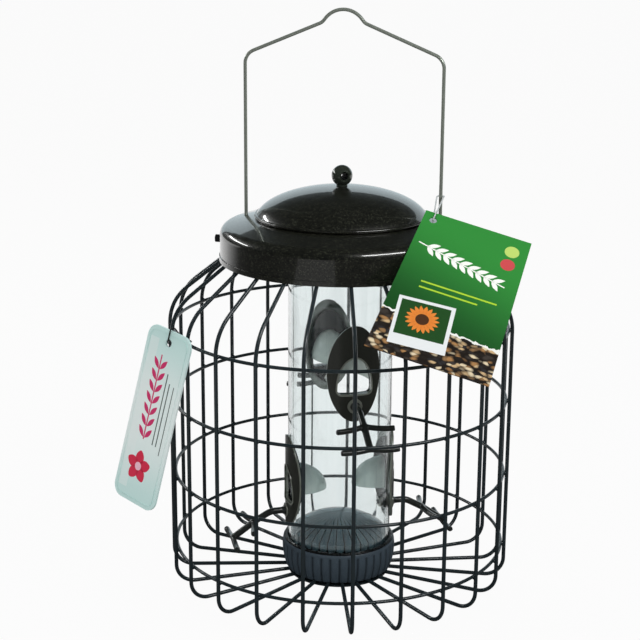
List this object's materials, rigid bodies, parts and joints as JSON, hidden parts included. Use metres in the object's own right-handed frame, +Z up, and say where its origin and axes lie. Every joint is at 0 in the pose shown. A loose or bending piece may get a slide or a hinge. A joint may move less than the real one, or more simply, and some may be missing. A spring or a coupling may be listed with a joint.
{
  "type": "squirrel proof bird feeder",
  "caption": "Hanging seed feeder: a clear tube with arched ports and twig perches inside a round wire cage, under a domed metal roof with a wire handle, a card and a tag.",
  "frame": {"origin": "centre of the bottom plate's underside, level with the lowest points of the cage wires", "axes": "+Z up along the tube, the handle stands in the XZ plane, the front is towards -Y"},
  "size_m": [0.2803, 0.2591, 0.4164],
  "materials": {
    "cage_wire": "satin black powder coat",
    "roof_enamel": "bronze black gloss coat with a fine sparkle",
    "handle_wire": "satin black powder coat",
    "port_casting": "dark bronze coated casting",
    "hood_plastic": "smoky translucent plastic",
    "fasteners": "plated steel",
    "clear_tube": "clear plastic with a faint blue grey tint",
    "clear_insert": "clear fluted plastic",
    "base_plastic": "charcoal plastic, semi gloss",
    "seal_rubber": "soft black rubber",
    "funnel_plastic": "black plastic",
    "end_cap_plastic": "soft black plastic",
    "printed_card": "coated card with a printed face",
    "tag_plastic": "mint green gloss plastic",
    "tie_plastic": "thin pale plastic cord"
  },
  "bodies": {
    "feeder": {"bottom_plate": "cage_wire", "cage_ring_1": "cage_wire", "cage_ring_2": "cage_wire", "cage_ring_3": "cage_wire", "cage_ring_4": "cage_wire", "cage_wire_01": "cage_wire", "cage_wire_02": "cage_wire", "cage_wire_03": "cage_wire", "cage_wire_04": "cage_wire", "cage_wire_05": "cage_wire", "cage_wire_06": "cage_wire", "cage_wire_07": "cage_wire", "cage_wire_08": "cage_wire", "cage_wire_09": "cage_wire", "cage_wire_10": "cage_wire", "cage_wire_11": "cage_wire", "cage_wire_12": "cage_wire", "cage_wire_13": "cage_wire", "cage_wire_14": "cage_wire", "cage_wire_15": "cage_wire", "cage_wire_16": "cage_wire", "cage_wire_17": "cage_wire", "cage_wire_18": "cage_wire", "cage_wire_19": "cage_wire", "cage_wire_20": "cage_wire", "cage_wire_21": "cage_wire", "cage_wire_22": "cage_wire", "cage_wire_23": "cage_wire", "fill_funnel": "funnel_plastic", "handle": "handle_wire", "handle_end_caps": "end_cap_plastic", "perch_lower_left": "port_casting", "perch_lower_right": "port_casting", "perch_nuts": "fasteners", "perch_upper_back": "port_casting", "perch_upper_front": "port_casting", "port_hood_lower_left": "hood_plastic", "port_hood_lower_right": "hood_plastic", "port_hood_upper_back": "hood_plastic", "port_hood_upper_front": "hood_plastic", "port_plate_lower_left": "port_casting", "port_plate_lower_right": "port_casting", "port_plate_upper_back": "port_casting", "port_plate_upper_front": "port_casting", "roof": "roof_enamel", "seed_tube": "clear_tube", "top_hoop": "cage_wire", "top_plate": "cage_wire"},
    "lid": {"lid_dome": "roof_enamel", "lid_skirt": "roof_enamel", "knob_ball": "roof_enamel", "knob_screw": "fasteners"},
    "base": {"base_cap": "base_plastic", "base_seal": "seal_rubber", "seed_insert": "clear_insert"},
    "card": {"hang_card": "printed_card", "card_tie": "tie_plastic"},
    "tag": {"plastic_tag": "tag_plastic", "tag_tie": "tie_plastic"}
  },
  "joints": [
    {"name": "lid_lift", "type": "slide", "parent": "feeder", "child": "lid", "axis": [0, 0, 1], "range_m": [0, 0.08]},
    {"name": "base_twist", "type": "hinge", "parent": "feeder", "child": "base", "pos_m": [0, 0, 0.015], "axis": [0, 0, 1], "range_deg": [0, 40]},
    {"name": "card_swing", "type": "hinge", "parent": "feeder", "child": "card", "pos_m": [0.071, 0, 0.288], "axis": [-1, 0, 0], "range_deg": [0, 35]},
    {"name": "tag_swing", "type": "hinge", "parent": "feeder", "child": "tag", "pos_m": [-0.0877, -0.08737, 0.19481], "axis": [-0.7058, 0.7084, 0], "range_deg": [0, 35]}
  ]
}
